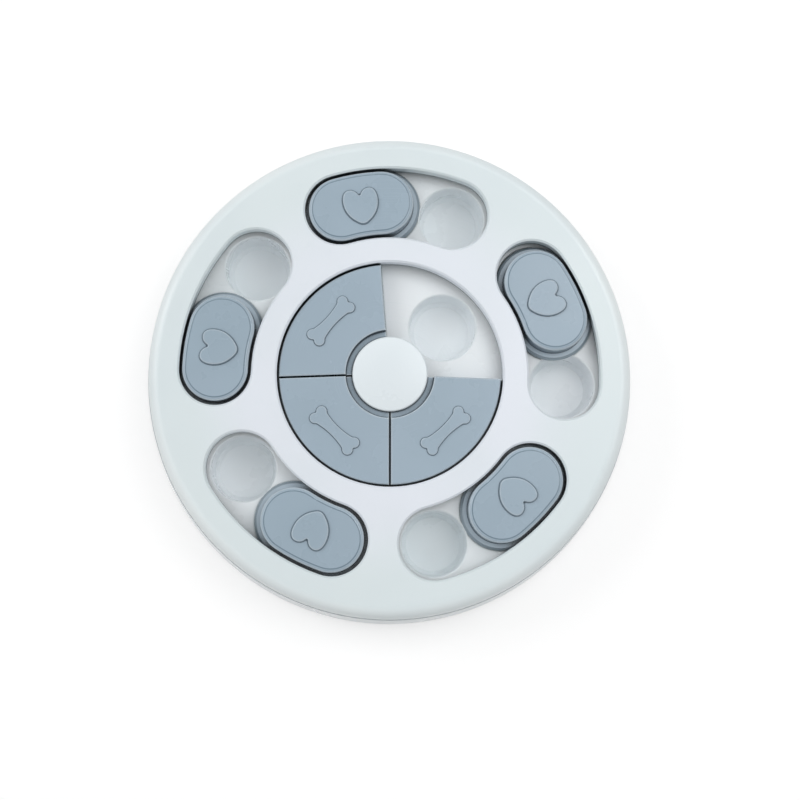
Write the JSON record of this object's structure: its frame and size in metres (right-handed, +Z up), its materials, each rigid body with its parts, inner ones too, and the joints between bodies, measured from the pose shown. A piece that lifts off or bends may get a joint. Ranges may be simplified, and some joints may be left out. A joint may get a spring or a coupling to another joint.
{
  "type": "dog puzzle feeder",
  "caption": "Round sliding-puzzle treat feeder for dogs: a tray of wells under a slotted cover, with curved sliders and quarter sliders round a hub.",
  "frame": {"origin": "on the floor, under the centre of the round tray", "axes": "+Z up; +Y through the middle of the first curved slot; +X to the right of it, seen from above"},
  "size_m": [0.2498, 0.2498, 0.0382],
  "materials": {
    "tray_plastic": "glossy injection-moulded plastic",
    "cover_plastic": "glossy injection-moulded plastic",
    "cap_plastic": "glossy injection-moulded plastic",
    "slider_plastic": "satin-gloss injection-moulded plastic",
    "quarter_plastic": "satin-gloss injection-moulded plastic",
    "screw_steel": "zinc-plated steel",
    "foot_rubber": "matte moulded rubber"
  },
  "bodies": {
    "base": {"base_tray": "tray_plastic", "top_cover": "cover_plastic", "hub_cap": "cap_plastic", "hub_screw": "screw_steel", "cover_screw_1": "screw_steel", "cover_screw_2": "screw_steel", "cover_screw_3": "screw_steel", "cover_screw_4": "screw_steel", "cover_screw_5": "screw_steel", "rubber_foot_1": "foot_rubber", "rubber_foot_2": "foot_rubber", "rubber_foot_3": "foot_rubber", "rubber_foot_4": "foot_rubber", "rubber_foot_5": "foot_rubber"},
    "outer_slider_1": {"outer_slider_1": "slider_plastic"},
    "outer_slider_2": {"outer_slider_2": "slider_plastic"},
    "outer_slider_3": {"outer_slider_3": "slider_plastic"},
    "outer_slider_4": {"outer_slider_4": "slider_plastic"},
    "outer_slider_5": {"outer_slider_5": "slider_plastic"},
    "quarter_slider_north_west": {"quarter_slider_north_west": "quarter_plastic"},
    "quarter_slider_south_west": {"quarter_slider_south_west": "quarter_plastic"},
    "quarter_slider_south_east": {"quarter_slider_south_east": "quarter_plastic"}
  },
  "joints": [
    {"name": "outer_slider_1_track", "type": "hinge", "parent": "base", "child": "outer_slider_1", "pos_m": [0, 0, 0.0243], "axis": [0, 0, 1], "range_deg": [-24.04, 0]},
    {"name": "outer_slider_2_track", "type": "hinge", "parent": "base", "child": "outer_slider_2", "pos_m": [0, 0, 0.0243], "axis": [0, 0, 1], "range_deg": [-24.04, 0]},
    {"name": "outer_slider_3_track", "type": "hinge", "parent": "base", "child": "outer_slider_3", "pos_m": [0, 0, 0.0243], "axis": [0, 0, 1], "range_deg": [-24.04, 0]},
    {"name": "outer_slider_4_track", "type": "hinge", "parent": "base", "child": "outer_slider_4", "pos_m": [0, 0, 0.0243], "axis": [0, 0, 1], "range_deg": [-24.04, 0]},
    {"name": "outer_slider_5_track", "type": "hinge", "parent": "base", "child": "outer_slider_5", "pos_m": [0, 0, 0.0243], "axis": [0, 0, 1], "range_deg": [-21.64, 2.4]},
    {"name": "quarter_train_turn", "type": "hinge", "parent": "base", "child": "quarter_slider_south_west", "pos_m": [0, 0, 0.0243], "axis": [0, 0, 1], "continuous": true},
    {"name": "quarter_north_west_slide", "type": "hinge", "parent": "quarter_slider_south_west", "child": "quarter_slider_north_west", "pos_m": [0, 0, 0.0243], "axis": [0, 0, 1], "range_deg": [-96.6, 0]},
    {"name": "quarter_south_east_slide", "type": "hinge", "parent": "quarter_slider_south_west", "child": "quarter_slider_south_east", "pos_m": [0, 0, 0.0243], "axis": [0, 0, 1], "range_deg": [0, 96.6]}
  ]
}
